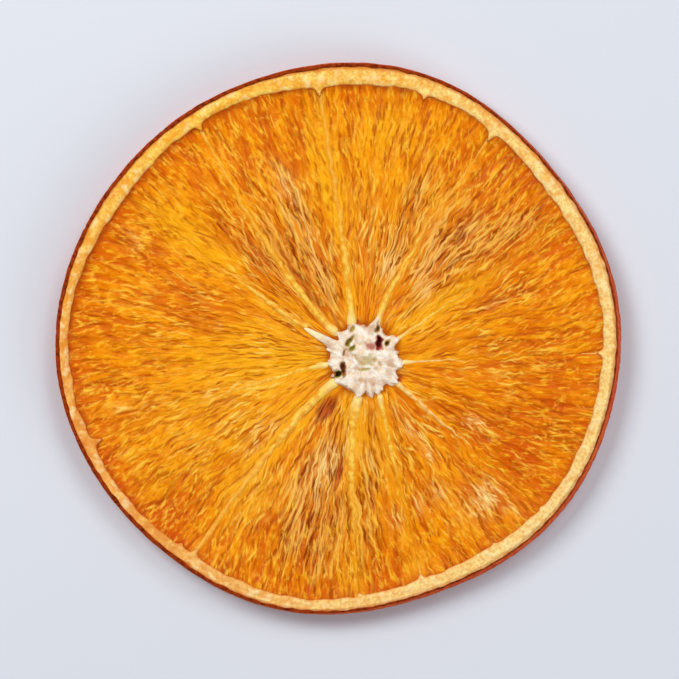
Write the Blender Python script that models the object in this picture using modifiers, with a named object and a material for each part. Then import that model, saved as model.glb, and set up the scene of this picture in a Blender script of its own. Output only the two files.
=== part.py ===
"""A dried slice of orange, modelled as one solid.

The slice was cut across the fruit. It shows a thin rind, a ring of pith, eleven segments of pulp parted
by membranes, and a white core that lies off the middle. Drying has sunk the pulp below the rim on both
faces and left the membranes standing as low ridges.

It starts as a coin turned from a profile, with a spoke of points for each step round a segment and a ring
for each step across the slice. Each point is then moved to its place by the functions below. Angles are in
degrees, anticlockwise from +X. Lengths are in metres, +Z is up, and the slice lies on the flat underside of
its rim with the middle of its outline over the origin.
"""

import math
import random
from typing import NamedTuple

import bpy
from mathutils import Vector, noise

MM = 0.001
NODE = "dried_orange_slice"

# Outline, as seen from above
MEAN_RADIUS = 32.2 * MM
# Each wave round the outline: how many crests it has, how high they are, and where one of them lies
OUTLINE_WAVES = (
    (2, 0.40 * MM, 181),
    (3, 0.19 * MM, 82),
    (4, 0.26 * MM, 80),
    (5, 0.06 * MM, 39),
    (6, 0.17 * MM, 14),
    (7, 0.06 * MM, 12),
)
CORE_CENTRE = Vector((2.68 * MM, -2.18 * MM))

# Rim: rind and pith
RIM_HEIGHT = 3.6 * MM
RIM_WARP = 0.3 * MM
RIM_WARP_AT = 50
RIND_THICKNESS = 0.35 * MM
RIND_LEAN = 0.3 * MM
RIND_LEAN_SWING = 0.7 * MM
RIND_LEAN_MOST_AT = 338
RIND_BULGE = 0.12 * MM
RIND_DIMPLE = 0.07 * MM
PITH_WIDTH = 1.43 * MM
PITH_WIDTH_WAVES = (
    (1, 0.35 * MM, 117),
    (2, 0.2 * MM, 96),
    (5, 0.13 * MM, 15),
    (6, 0.11 * MM, 26),
    (7, 0.09 * MM, 40),
)
PITH_POINT_SPREAD = 0.06

# Pulp: how far its two faces lie inside the rim's height, and the low relief on them
PULP_DROP = 0.85 * MM
PULP_LIFT = 0.75 * MM
PULP_EDGE_DIP = 0.25 * MM
PULP_DIP_FROM = 0.85
PULP_SWELL = 0.28 * MM
FIBRE_RELIEF = 0.25 * MM
VESICLE_RELIEF = 0.16 * MM
VESICLES_FULL_FROM = 0.4
RIDGE_HALF_WIDTH = 0.42 * MM
RIDGE_RISE = 0.1
RIDGE_FADE = 0.45
SAG = 0.2 * MM
SAG_LENGTH = 14 * MM
WANDER = 0.16 * MM
WANDER_LENGTH = 6 * MM

# Core
CORE_RADIUS = 3.95 * MM
CORE_DROP = 0.15 * MM
CORE_BUMP = 0.15 * MM
CORE_BUMP_LENGTH = 1.1 * MM
CORE_POINT_SPREAD = 0.15
CORE_FLANK = 0.055

# How finely the blank is divided
SPOKE_SPACING = 3.9
CORE_RINGS = 5
PULP_RINGS = 11
UNDERSIDE_PULP_RINGS = 9
FOOT_AT_CORE = 0.22
PULP_RING_CROWDING = 1.35

SEED = 1507


class Membrane(NamedTuple):
    """The wall between two segments, a straight line from the core to the rim."""

    rim: float  # the angle of its outer end, seen from the middle of the core
    core: float  # the angle of its inner end
    ridge: float  # how far it stands up from the pulp
    pith_point: float  # how far the pith runs in along it
    core_point: float  # how far the core runs out along it


MEMBRANES = (
    Membrane(rim=1.5, core=-4, ridge=0.2 * MM, pith_point=0.8 * MM, core_point=0.8 * MM),
    Membrane(rim=34.5, core=31, ridge=0.3 * MM, pith_point=0.1 * MM, core_point=0.7 * MM),
    Membrane(rim=60.2, core=69, ridge=0.4 * MM, pith_point=1.3 * MM, core_point=0.9 * MM),
    Membrane(rim=99.4, core=108, ridge=0.5 * MM, pith_point=1.2 * MM, core_point=0.7 * MM),
    Membrane(rim=125.3, core=136, ridge=0.45 * MM, pith_point=1.1 * MM, core_point=0.9 * MM),
    Membrane(rim=145, core=151, ridge=0.35 * MM, pith_point=0.1 * MM, core_point=3.4 * MM),
    Membrane(rim=197.1, core=188.7, ridge=0.25 * MM, pith_point=1.3 * MM, core_point=0.6 * MM),
    Membrane(rim=229, core=218.5, ridge=0.45 * MM, pith_point=1.2 * MM, core_point=0.7 * MM),
    Membrane(rim=269, core=261.5, ridge=0.45 * MM, pith_point=0.5 * MM, core_point=0.8 * MM),
    Membrane(rim=284.8, core=293, ridge=0.35 * MM, pith_point=0.8 * MM, core_point=0.9 * MM),
    Membrane(rim=320, core=323.7, ridge=0.35 * MM, pith_point=0.2 * MM, core_point=1.2 * MM),
)


class Pit(NamedTuple):
    """A hole left in the core where a strand has dried out, placed from the middle of the core."""

    x: float
    y: float
    radius: float
    depth: float


PITS = (
    Pit(1.8 * MM, 1.8 * MM, 0.75 * MM, 0.8 * MM),
    Pit(2.7 * MM, 1.8 * MM, 0.5 * MM, 0.4 * MM),
    Pit(-1.7 * MM, 1.8 * MM, 0.6 * MM, 0.5 * MM),
    Pit(-2.3 * MM, -1.1 * MM, 0.65 * MM, 0.6 * MM),
    Pit(-3.4 * MM, -2.0 * MM, 0.5 * MM, 0.5 * MM),
)


class Spoke(NamedTuple):
    """A line of points from the core to the rim, as shares of the way round one segment."""

    segment: int
    at_core: float
    at_rim: float


class Ring(NamedTuple):
    """A line of points round the slice. Its share is how far across its zone it lies."""

    zone: str
    share: float
    face: int  # 1 on the top, -1 on the underside, 0 on the side
    drop: float = 0.0  # on the rim, how far it lies inside the full height


def direction(degrees):
    return Vector((math.cos(math.radians(degrees)), math.sin(math.radians(degrees))))


def waves(table, degrees):
    return sum(height * math.cos(math.radians(count * (degrees - crest))) for count, height, crest in table)


def outline_radius(degrees):
    return MEAN_RADIUS + waves(OUTLINE_WAVES, degrees)


def pith_width(degrees):
    return PITH_WIDTH + waves(PITH_WIDTH_WAVES, degrees)


def rind_lean(degrees):
    """How much further out the rind's lower edge is than its upper edge."""
    return RIND_LEAN + RIND_LEAN_SWING * math.cos(math.radians(degrees - RIND_LEAN_MOST_AT))


def seen_from_middle(point):
    """The angle of a point, given from the core, as seen from the middle of the outline."""
    return math.degrees(math.atan2(point.y + CORE_CENTRE.y, point.x + CORE_CENTRE.x))


def full_height(point):
    """The height of the rim, carried on smoothly over the middle. Drying has warped the top a little."""
    outwards = (point + CORE_CENTRE).length / MEAN_RADIUS
    twist = math.cos(math.radians(2 * seen_from_middle(point) - RIM_WARP_AT))
    return RIM_HEIGHT + RIM_WARP * outwards**2 * twist


def reach(degrees, inset):
    """Where the core's ray at this angle meets the outline moved in by inset(angle), given from the core."""
    distance = MEAN_RADIUS
    for _ in range(12):
        point = distance * direction(degrees)
        angle = seen_from_middle(point)
        distance += outline_radius(angle) - inset(angle) - (point + CORE_CENTRE).length
    return distance * direction(degrees)


def membrane_after(segment):
    return MEMBRANES[(segment + 1) % len(MEMBRANES)]


def width_of(segment, end):
    """The degrees that a segment takes up at the membranes' core end or rim end."""
    return (getattr(membrane_after(segment), end) - getattr(MEMBRANES[segment], end)) % 360


def all_spokes():
    """Each segment has a spoke on its membrane's crest, one at each side's foot, and even ones between."""
    found = []
    for segment in range(len(MEMBRANES)):
        rim_width = math.radians(width_of(segment, "rim")) * (MEAN_RADIUS - PITH_WIDTH)
        rim_foot = RIDGE_HALF_WIDTH / rim_width
        count = max(4, round(width_of(segment, "rim") / SPOKE_SPACING))
        found.append(Spoke(segment, 0.0, 0.0))
        found.append(Spoke(segment, FOOT_AT_CORE / count, rim_foot))
        for step in range(1, count):
            found.append(Spoke(segment, step / count, step / count))
        found.append(Spoke(segment, 1 - FOOT_AT_CORE / count, 1 - rim_foot))
    return found


def pulp_share(step, count):
    """How far across the pulp a ring lies. The rings crowd towards the core, where the form is finer."""
    return (step / count) ** PULP_RING_CROWDING


def all_rings():
    """The rings from the middle of the top, out over the rim, and back to the middle of the underside."""
    top = [Ring("core", step / CORE_RINGS, 1) for step in range(CORE_RINGS)]
    top += [Ring("pulp", pulp_share(step, PULP_RINGS), 1) for step in range(PULP_RINGS + 1)]
    top += [
        Ring("rim", 0.12, 1, 0.3 * MM),
        Ring("rim", 0.3, 1, 0.06 * MM),
        Ring("rim", 0.55, 1, 0.16 * MM),
        Ring("rim", 0.84, 1, 0.02 * MM),
        Ring("rim", 0.94, 1),
    ]
    side = [Ring("side", height, 0) for height in (0.95, 0.72, 0.48, 0.24, 0.05)]
    under = [Ring("rim", 0.92, -1), Ring("rim", 0.55, -1), Ring("rim", 0.2, -1)]
    pulp_steps = range(UNDERSIDE_PULP_RINGS, -1, -1)
    under += [Ring("pulp", pulp_share(step, UNDERSIDE_PULP_RINGS), -1) for step in pulp_steps]
    under += [Ring("core", share, -1) for share in (0.6, 0.3, 0.0)]
    return top + side + under


def blank_profile(rings):
    """The blank's profile, running out along its top, down its side and back along its underside."""
    top_count = sum(ring.face == 1 for ring in rings)
    under_count = sum(ring.face == -1 for ring in rings)
    across = [step / top_count for step in range(top_count)]
    down = [ring.share for ring in rings if ring.face == 0]
    back = [1 - (step + 1) / under_count for step in range(under_count)]
    profile = [(MEAN_RADIUS * share, 0, RIM_HEIGHT) for share in across]
    profile += [(MEAN_RADIUS, 0, RIM_HEIGHT * share) for share in down]
    profile += [(MEAN_RADIUS * share, 0, 0) for share in back]
    return profile


def turned_blank(profile, steps):
    """A closed coin: the profile turned about Z and joined at its seam and its two poles."""
    mesh = bpy.data.meshes.new("blank_profile")
    mesh.from_pydata(profile, [(place, place + 1) for place in range(len(profile) - 1)], [])
    blank = bpy.data.objects.new("blank", mesh)
    bpy.context.scene.collection.objects.link(blank)
    turn = blank.modifiers.new("Turn", "SCREW")
    turn.steps = turn.render_steps = steps
    turn.use_merge_vertices = True
    turn.merge_threshold = 0.00001
    seen = blank.evaluated_get(bpy.context.evaluated_depsgraph_get())
    turned = bpy.data.meshes.new_from_object(seen)
    bpy.data.objects.remove(blank)
    return turned


def core_edge(spoke):
    """The edge of the core, which runs out to a point along each membrane."""
    near, far = MEMBRANES[spoke.segment], membrane_after(spoke.segment)
    radius = CORE_RADIUS
    radius += near.core_point * math.exp(-spoke.at_core / CORE_POINT_SPREAD)
    radius += far.core_point * math.exp(-(1 - spoke.at_core) / CORE_POINT_SPREAD)
    return radius * direction(near.core + spoke.at_core * width_of(spoke.segment, "core"))


def pith_edge(spoke, ray):
    """The inner edge of the pith, which runs in to a point at each membrane."""
    near, far = MEMBRANES[spoke.segment], membrane_after(spoke.segment)
    points = near.pith_point * math.exp(-spoke.at_rim / PITH_POINT_SPREAD)
    points += far.pith_point * math.exp(-(1 - spoke.at_rim) / PITH_POINT_SPREAD)
    return reach(ray, lambda angle: RIND_THICKNESS + pith_width(angle) + max(0, rind_lean(angle)) + points)


def flat_place(spoke, ring):
    """Where a spoke crosses a ring, seen from above and given from the core."""
    ray = MEMBRANES[spoke.segment].rim + spoke.at_rim * width_of(spoke.segment, "rim")
    if ring.zone == "core":
        return core_edge(spoke) * ring.share
    if ring.zone == "pulp":
        return core_edge(spoke).lerp(pith_edge(spoke, ray), ring.share)
    height = ring.share if ring.zone == "side" else (1 + ring.face) / 2
    outer = reach(ray, lambda angle: side_inset(angle, height))
    if ring.zone == "side":
        return outer
    return pith_edge(spoke, ray).lerp(outer, ring.share)


def side_inset(degrees, height):
    """How far inside the outline the rind lies, at a height from 0 at its lower edge to 1 at its upper."""
    lean = rind_lean(degrees)
    slant = lean * height if lean > 0 else -lean * (1 - height)
    upright = 1 - min(1, abs(lean) / RIND_LEAN_SWING)
    bulge = RIND_BULGE * upright * math.sin(math.pi * height)
    dimple = RIND_DIMPLE * noise.noise(9 * direction(degrees).to_3d() + Vector((0, 0, 4 * height)))
    return slant - bulge + dimple


def ridge_height(spoke, share):
    """How far the membranes stand up here. Each rises beside the core and fades on its way to the rim."""
    if spoke.at_rim > 0:
        return 0.0
    return MEMBRANES[spoke.segment].ridge * min(1, share / RIDGE_RISE) * (1 - RIDGE_FADE * share)


def pulp_relief(spoke, share, place, draw):
    """The swell of a segment between its walls, the lie of its fibres and the unevenness of its vesicles."""
    swell = PULP_SWELL * (math.sin(math.pi * spoke.at_rim) - 0.5)
    along = Vector((spoke.segment * 3.7 + spoke.at_rim * 7, share * 3, 0.5))
    fibres = FIBRE_RELIEF * noise.noise(along)
    wander = WANDER * noise.noise(place.to_3d() / WANDER_LENGTH)
    sag = SAG * noise.noise(place.to_3d() / SAG_LENGTH)
    vesicles = draw.uniform(-1, 1) * VESICLE_RELIEF * min(1, share / VESICLES_FULL_FROM)
    return swell + fibres + wander + sag + vesicles


def core_relief(place):
    """The spongy, uneven top of the core with its pits."""
    depth = 0.0
    for pit in PITS:
        off = (place - Vector((pit.x, pit.y))).length / pit.radius
        depth = max(depth, pit.depth * (1 - off * off))
    return CORE_BUMP * noise.noise(place.to_3d() / CORE_BUMP_LENGTH) - depth


def height_of(spoke, ring, place, draw):
    """The height of a point whose place seen from above is already known."""
    rim = full_height(place)
    if ring.zone == "side":
        return rim * ring.share
    if ring.zone == "rim":
        return rim - ring.drop if ring.face == 1 else 0.0
    if ring.zone == "core":
        inside = CORE_DROP - core_relief(place)
    else:
        depth = PULP_DROP if ring.face == 1 else PULP_LIFT
        by_core = max(0, 1 - ring.share / CORE_FLANK) ** 2
        by_rim = max(0, ring.share - PULP_DIP_FROM) / (1 - PULP_DIP_FROM)
        inside = depth + (CORE_DROP - depth) * by_core + PULP_EDGE_DIP * by_rim
        inside -= ridge_height(spoke, ring.share)
        held = (1 - by_core) * (1 - ring.share**6)
        inside -= held * pulp_relief(spoke, ring.share, place, draw)
    return rim - inside if ring.face == 1 else inside


def shape(mesh, spokes, rings, profile):
    """Moves each point of the blank to its place on the slice."""
    draw = random.Random(SEED)
    for vertex in mesh.vertices:
        radius = math.hypot(vertex.co.x, vertex.co.y)
        turn = math.degrees(math.atan2(vertex.co.y, vertex.co.x)) / 360 * len(spokes)
        spoke = spokes[round(turn) % len(spokes)]
        offs = [math.hypot(point[0] - radius, point[2] - vertex.co.z) for point in profile]
        ring = rings[offs.index(min(offs))]
        place = flat_place(spoke, ring)
        height = height_of(spoke, ring, place, draw)
        vertex.co = (*(place + CORE_CENTRE), height)


def centre_on_origin(mesh):
    """Puts the middle of the outline's box over the origin."""
    xs = [vertex.co.x for vertex in mesh.vertices]
    ys = [vertex.co.y for vertex in mesh.vertices]
    middle = Vector(((min(xs) + max(xs)) / 2, (min(ys) + max(ys)) / 2, 0))
    for vertex in mesh.vertices:
        vertex.co -= middle


def material(name, colour, roughness):
    made = bpy.data.materials.new(name)
    made.use_nodes = True
    shader = made.node_tree.nodes["Principled BSDF"]
    shader.inputs["Base Color"].default_value = (*colour, 1)
    shader.inputs["Roughness"].default_value = roughness
    shader.inputs["Metallic"].default_value = 0
    return made


def colour_faces(mesh, rings, profile):
    """Gives each face of the blank, not yet shaped, the material of the zone that it was turned from."""
    slots = {"core": 0, "pulp": 1, "rim": 2, "side": 3}
    mesh.materials.append(material("core", (0.86, 0.78, 0.74), 0.8))
    mesh.materials.append(material("pulp", (0.80, 0.29, 0.02), 0.35))
    mesh.materials.append(material("pith", (0.90, 0.60, 0.25), 0.7))
    mesh.materials.append(material("rind", (0.45, 0.08, 0.01), 0.5))
    for face in mesh.polygons:
        radius = math.hypot(face.center.x, face.center.y)
        offs = [math.hypot(point[0] - radius, point[2] - face.center.z) for point in profile]
        face.material_index = slots[rings[offs.index(min(offs))].zone]


def main():
    for old in list(bpy.data.objects):
        bpy.data.objects.remove(old)
    spokes, rings = all_spokes(), all_rings()
    profile = blank_profile(rings)
    mesh = turned_blank(profile, len(spokes))
    colour_faces(mesh, rings, profile)
    shape(mesh, spokes, rings, profile)
    centre_on_origin(mesh)
    mesh.name = NODE
    mesh.shade_smooth()
    mesh.set_sharp_from_angle(angle=math.radians(50))
    group = bpy.data.collections.new(NODE)
    bpy.context.scene.collection.children.link(group)
    group.objects.link(bpy.data.objects.new(NODE, mesh))


main()
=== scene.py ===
"""The looks of a dried slice of orange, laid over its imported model.

The sections follow the slice from the outside in: the table and lights, the rind, the pith, the core, the
membranes and the pulp between them. Lengths are in metres, written as so many MM. Angles are in degrees,
anticlockwise from +X, with +Z up out of the cut face.
"""

import itertools
from typing import NamedTuple

import bpy
import numpy as np
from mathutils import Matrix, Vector


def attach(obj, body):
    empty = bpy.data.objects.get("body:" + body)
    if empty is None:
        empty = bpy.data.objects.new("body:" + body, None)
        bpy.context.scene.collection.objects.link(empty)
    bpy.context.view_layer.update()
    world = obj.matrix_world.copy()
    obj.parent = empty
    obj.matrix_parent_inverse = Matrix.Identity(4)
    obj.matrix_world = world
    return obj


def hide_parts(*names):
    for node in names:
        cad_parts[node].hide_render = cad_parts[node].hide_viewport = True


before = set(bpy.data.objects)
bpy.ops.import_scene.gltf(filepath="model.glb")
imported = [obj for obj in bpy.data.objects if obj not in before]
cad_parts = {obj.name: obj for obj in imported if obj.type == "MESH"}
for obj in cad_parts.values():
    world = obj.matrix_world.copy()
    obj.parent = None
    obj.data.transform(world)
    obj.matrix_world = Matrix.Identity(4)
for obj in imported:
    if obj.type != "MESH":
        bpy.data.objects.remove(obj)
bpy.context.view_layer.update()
NODE = "dried_orange_slice"
BODY = "root"


# Table, lights and camera
# The slice lies flat on a plain pale table and is seen from straight above, as in a flat-lay picture.
# A large soft lamp stands to its upper left, and weaker ones to its upper right and its lower right, one of
# them low enough to light the peel on that side.
MM = 0.001
TABLE_SIZE = 3000 * MM
TABLE_BELOW = 0.02 * MM
TABLE_COLOUR = (0.70, 0.74, 0.82)
CAMERA_HEIGHT = 450 * MM
FRAME_WIDTH = 79 * MM
SENSOR_WIDTH = 36
WORLD_STRENGTH = 0.17


def add_lamp(name, bearing, height, distance, size, power, colour):
    """A square soft lamp that faces the slice, at a bearing round it and an angle above the table."""
    data = bpy.data.lights.new(name, "AREA")
    data.energy = power
    data.size = size
    data.color = colour
    lamp = bpy.data.objects.new(name, data)
    across, up = np.radians(bearing), np.radians(height)
    towards = Vector((np.cos(up) * np.cos(across), np.cos(up) * np.sin(across), np.sin(up)))
    lamp.location = distance * towards
    lamp.rotation_euler = towards.to_track_quat("Z", "Y").to_euler()
    bpy.context.scene.collection.objects.link(lamp)


add_lamp("key_lamp", bearing=140, height=50, distance=0.6, size=0.26, power=2.4, colour=(1.0, 0.98, 0.95))
add_lamp("fill_lamp", bearing=-40, height=50, distance=0.7, size=0.4, power=0.6, colour=(0.95, 0.97, 1.0))
add_lamp("side_lamp", bearing=60, height=55, distance=0.7, size=0.3, power=1.25, colour=(1.0, 1.0, 1.0))
add_lamp("low_lamp", bearing=-35, height=26, distance=0.7, size=0.3, power=1.3, colour=(1.0, 0.98, 0.95))

world = bpy.data.worlds.new("studio")
world.use_nodes = True
world.node_tree.nodes["Background"].inputs["Color"].default_value = (0.94, 0.96, 1.0, 1)
world.node_tree.nodes["Background"].inputs["Strength"].default_value = WORLD_STRENGTH
bpy.context.scene.world = world
bpy.context.scene.view_settings.view_transform = "Standard"

camera_data = bpy.data.cameras.new("camera")
camera_data.sensor_fit = "HORIZONTAL"
camera_data.sensor_width = SENSOR_WIDTH
camera_data.lens = SENSOR_WIDTH * CAMERA_HEIGHT / FRAME_WIDTH
camera_data.clip_start = 10 * MM
camera = bpy.data.objects.new("camera", camera_data)
camera.location = (0, 0, CAMERA_HEIGHT)
bpy.context.scene.collection.objects.link(camera)
bpy.context.scene.camera = camera


def add_blank(add_primitive, name, **sizes):
    """One of Blender's primitives, added with nothing else selected, as the start of a piece."""
    bpy.ops.object.select_all(action="DESELECT")
    add_primitive(**sizes)
    blank = bpy.context.object
    blank.name = name
    blank.data.name = name
    return blank


class Socket:
    """A socket in a material. Sums on it add Math nodes, and node() adds a node of any other kind."""

    def __init__(self, tree, socket=None):
        self.tree = tree
        self.socket = socket

    def node(self, kind, settings, inputs, output=0):
        """Adds a node, sets it up, feeds its sockets with values or links, and returns one output."""
        made = self.tree.nodes.new(kind)
        for name, value in settings.items():
            setattr(made, name, value)
        for key, value in inputs.items():
            self.feed(made.inputs[key], value)
        return Socket(self.tree, made.outputs[output])

    def feed(self, target, value):
        """Links a socket to the target, or sets the target's own value."""
        if isinstance(value, Socket):
            self.tree.links.new(value.socket, target)
        elif isinstance(value, tuple) and len(value) == 3 and target.type == "RGBA":
            target.default_value = (*value, 1)
        else:
            target.default_value = value

    def sum(self, operation, first, second):
        return self.node("ShaderNodeMath", {"operation": operation}, {0: first, 1: second})

    def __add__(self, other):
        return self.sum("ADD", self, other)

    def __sub__(self, other):
        return self.sum("SUBTRACT", self, other)

    def __rsub__(self, other):
        return self.sum("SUBTRACT", other, self)

    def __mul__(self, other):
        return self.sum("MULTIPLY", self, other)

    __radd__ = __add__
    __rmul__ = __mul__

    def clamped(self):
        return self.node("ShaderNodeClamp", {}, {0: self})

    def between(self, low, high):
        """How far this value lies from low to high, as 0 to 1, eased at both ends."""
        inputs = {"Value": self, "From Min": low, "From Max": high}
        return self.node("ShaderNodeMapRange", {"interpolation_type": "SMOOTHSTEP"}, inputs)

    def mix(self, none, full):
        """The colour that goes from none to full as this value goes from 0 to 1."""
        return self.node("ShaderNodeMix", {"data_type": "RGBA"}, {0: self, 6: none, 7: full}, 2)

    def scaled(self, factors):
        return self.node("ShaderNodeVectorMath", {"operation": "MULTIPLY"}, {0: self, 1: factors})

    def noise(self, scale, detail=3.0, roughness=0.55):
        """Soft random blotches from 0 to 1 over this vector."""
        inputs = {"Vector": self, "Scale": scale, "Detail": detail, "Roughness": roughness}
        return self.node("ShaderNodeTexNoise", {}, inputs)

    def attribute(self, name, output="Fac"):
        return self.node("ShaderNodeAttribute", {"attribute_name": name}, {}, output)

    def place(self):
        """The place on the piece in millimetres."""
        metres = self.node("ShaderNodeTexCoord", {}, {}, "Object")
        return metres.scaled((1 / MM,) * 3)

    def bumped(self, strength, distance):
        """The surface direction once this value is taken as a height."""
        inputs = {"Height": self, "Strength": strength, "Distance": distance}
        return self.node("ShaderNodeBump", {}, inputs)


def add_material(name, constants):
    """A material with these values on its shader's own sockets. Returns it, and a Socket to build on."""
    made = bpy.data.materials.new(name)
    made.use_nodes = True
    shader = made.node_tree.nodes["Principled BSDF"]
    start = Socket(made.node_tree)
    for socket, value in constants.items():
        start.feed(shader.inputs[socket], value)
    return made, start


def finish(material, **sockets):
    """Feeds the shader's sockets, named with underscores for spaces."""
    shader = material.node_tree.nodes["Principled BSDF"]
    for name, value in sockets.items():
        value.feed(shader.inputs[name.replace("_", " ")], value)


def screen(red, green, blue):
    """A colour as a screen shows it, from 0 to 255, turned into the shader's own scale."""
    shares = np.array((red, green, blue)) / 255
    linear = np.where(shares <= 0.04045, shares / 12.92, ((shares + 0.055) / 1.055) ** 2.4)
    return tuple(float(value) for value in linear)


table = add_blank(bpy.ops.mesh.primitive_plane_add, "table", size=TABLE_SIZE, location=(0, 0, -TABLE_BELOW))
table_material, start = add_material("table", {"Base Color": TABLE_COLOUR, "Roughness": 0.5})
mottle = start.place().noise(0.02).mix(TABLE_COLOUR, tuple(0.97 * value for value in TABLE_COLOUR))
finish(table_material, Base_Color=mottle)
table.data.materials.append(table_material)


# Rind
# The coloured peel, dried to a thin tough strip that holds the slice's edge. The knife went through it, so
# the side shows skin dented by its oil glands, and from above only a dark line shows round the pith.
MEAN_RADIUS = 32.2 * MM
# Each wave round the outline: how many crests it has, how high they are, and where one of them lies
OUTLINE_WAVES = (
    (2, 0.40 * MM, 181),
    (3, 0.19 * MM, 82),
    (4, 0.26 * MM, 80),
    (5, 0.06 * MM, 39),
    (6, 0.17 * MM, 14),
    (7, 0.06 * MM, 12),
)
RIM_HEIGHT = 3.6 * MM
RIM_WARP = 0.3 * MM
RIM_WARP_AT = 50
RIND_WALL = 0.48 * MM
RIND_WALL_UNEVEN = 0.14 * MM
RIND_LEAN = 0.2 * MM
RIND_LEAN_SWING = 0.467 * MM
RIND_LEAN_MOST_AT = 338
RIND_THINNER_BY_LEAN = 0.4
RIND_BULGE = 0.12 * MM
RIND_EDGE_ROUND = 0.07 * MM
RIND_EDGE_RISE = 0.04 * MM
RIND_EDGE_WAVE = 0.05 * MM
RIND_EDGE_WAVE_LENGTH = 1.6 * MM
RIND_STEPS_ROUND = 900
RIND_ROWS_UP = 22
RIND_ROWS_IN = 4
WRINKLE = 0.09 * MM
WRINKLE_LENGTH = 2.4 * MM
GLAND_SPACING = 0.8 * MM
GLAND_DEPTH = 0.08 * MM
NOISE_TABLE = 256


def direction(degrees):
    turn = np.radians(degrees)
    return np.stack((np.cos(turn), np.sin(turn)), axis=-1)


def degrees_of(flat):
    return np.degrees(np.arctan2(flat[..., 1], flat[..., 0]))


def waves(table, degrees):
    return sum(height * np.cos(np.radians(count * (degrees - crest))) for count, height, crest in table)


def outline_radius(degrees):
    return MEAN_RADIUS + waves(OUTLINE_WAVES, degrees)


def rind_lean(degrees):
    """How much further out the rind's lower edge is than its upper edge."""
    return RIND_LEAN + RIND_LEAN_SWING * np.cos(np.radians(degrees - RIND_LEAN_MOST_AT))


def side_inset(degrees, up):
    """How far inside the outline the rind lies, at a height from 0 at its lower edge to 1 at its upper."""
    lean = rind_lean(degrees)
    slant = np.where(lean > 0, lean * up, -lean * (1 - up))
    upright = 1 - np.minimum(1, np.abs(lean) / RIND_LEAN_SWING)
    return slant - RIND_BULGE * upright * np.sin(np.pi * up)


def full_height(flat):
    """The height of the rim, carried on smoothly over the middle. Drying has warped the top a little."""
    outwards = np.hypot(flat[..., 0], flat[..., 1]) / MEAN_RADIUS
    twist = np.cos(np.radians(2 * degrees_of(flat) - RIM_WARP_AT))
    return RIM_HEIGHT + RIM_WARP * outwards**2 * twist


def smooth_noise(points, length, seed):
    """Soft hills and hollows of about this length, from -1 to 1, over an array of 3-D points."""
    draw = np.random.default_rng(seed)
    order = draw.permutation(NOISE_TABLE)
    slopes = draw.normal(size=(NOISE_TABLE, 3))
    slopes /= np.linalg.norm(slopes, axis=1, keepdims=True)
    scaled = points / length
    cell = np.floor(scaled).astype(int)
    inside = scaled - cell
    fade = inside**3 * (inside * (inside * 6 - 15) + 10)
    total = np.zeros(len(points))
    for corner in itertools.product((0, 1), repeat=3):
        x, y, z = ((cell + corner) % NOISE_TABLE).T
        slope = slopes[order[(order[(order[x] + y) % NOISE_TABLE] + z) % NOISE_TABLE]]
        weight = np.where(corner, fade, 1 - fade).prod(axis=1)
        total += weight * ((inside - corner) * slope).sum(axis=1)
    return 1.5 * total


def outline_middle():
    """The middle of the outline's box, which the slice has over the origin."""
    angles = np.arange(0, 360, 0.2)
    edge = outline_radius(angles)[:, None] * direction(angles)
    return (edge.min(axis=0) + edge.max(axis=0)) / 2


BOX_MIDDLE = outline_middle()


def blank_points(piece):
    points = np.empty(3 * len(piece.data.vertices))
    piece.data.vertices.foreach_get("co", points)
    return points.reshape(-1, 3)


def set_points(piece, flat, height):
    """Moves a piece's points to their places, given from the middle of the outline and from the table."""
    points = np.column_stack((flat - BOX_MIDDLE, height))
    piece.data.vertices.foreach_set("co", points.ravel())
    piece.data.update()


def note(piece, name, values):
    """Keeps a number for each point, which the piece's material reads."""
    layer = piece.data.attributes.new(name, "FLOAT", "POINT")
    layer.data.foreach_set("value", np.asarray(values, dtype=np.float32))


def cut_edges(piece, chosen, cuts):
    """Cuts the chosen edges, and so the faces between them, into even rows."""
    mesh = piece.data
    bpy.context.view_layer.objects.active = piece
    bpy.context.tool_settings.mesh_select_mode = (False, True, False)
    mesh.vertices.foreach_set("select", np.zeros(len(mesh.vertices), dtype=bool))
    mesh.polygons.foreach_set("select", np.zeros(len(mesh.polygons), dtype=bool))
    mesh.edges.foreach_set("select", chosen)
    bpy.ops.object.mode_set(mode="EDIT")
    bpy.ops.mesh.subdivide(number_cuts=cuts)
    bpy.ops.object.mode_set(mode="OBJECT")


def edge_spans(piece):
    """How far each edge of a blank rises, and how far it runs towards the axis."""
    ends = np.empty(2 * len(piece.data.edges), dtype=int)
    piece.data.edges.foreach_get("vertices", ends)
    points = blank_points(piece)[ends.reshape(-1, 2)]
    radius = np.hypot(points[..., 0], points[..., 1])
    return np.abs(np.diff(points[..., 2]))[:, 0], np.abs(np.diff(radius))[:, 0]


def thicken(piece, thickness):
    """Gives an open surface a wall of this thickness behind it, which closes it."""
    wall = piece.modifiers.new("Wall", "SOLIDIFY")
    wall.thickness = thickness
    wall.offset = -1
    bpy.context.view_layer.objects.active = piece
    bpy.ops.object.modifier_apply(modifier=wall.name)


def tube_blank(name, radius, wall, steps_round, rows_up, rows_in):
    """A tube as tall as the rim, with its faces cut into rows. Returns it and its points' shares: the angle
    round it, how far up they lie, and how far in from its outside."""
    centre = (0, 0, RIM_HEIGHT / 2)
    sizes = {"vertices": steps_round, "radius": radius, "depth": RIM_HEIGHT, "location": centre}
    blank = add_blank(bpy.ops.mesh.primitive_cylinder_add, name, end_fill_type="NOTHING", **sizes)
    bpy.ops.object.transform_apply(location=True)
    cut_edges(blank, edge_spans(blank)[0] > RIM_HEIGHT / 2, rows_up - 1)
    thicken(blank, wall)
    cut_edges(blank, edge_spans(blank)[1] > wall / 2, rows_in - 1)
    x, y, z = blank_points(blank).T
    inwards = (radius - np.hypot(x, y)) / wall
    return blank, np.degrees(np.arctan2(y, x)), np.clip(z / RIM_HEIGHT, 0, 1), np.clip(inwards, 0, 1)


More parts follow.
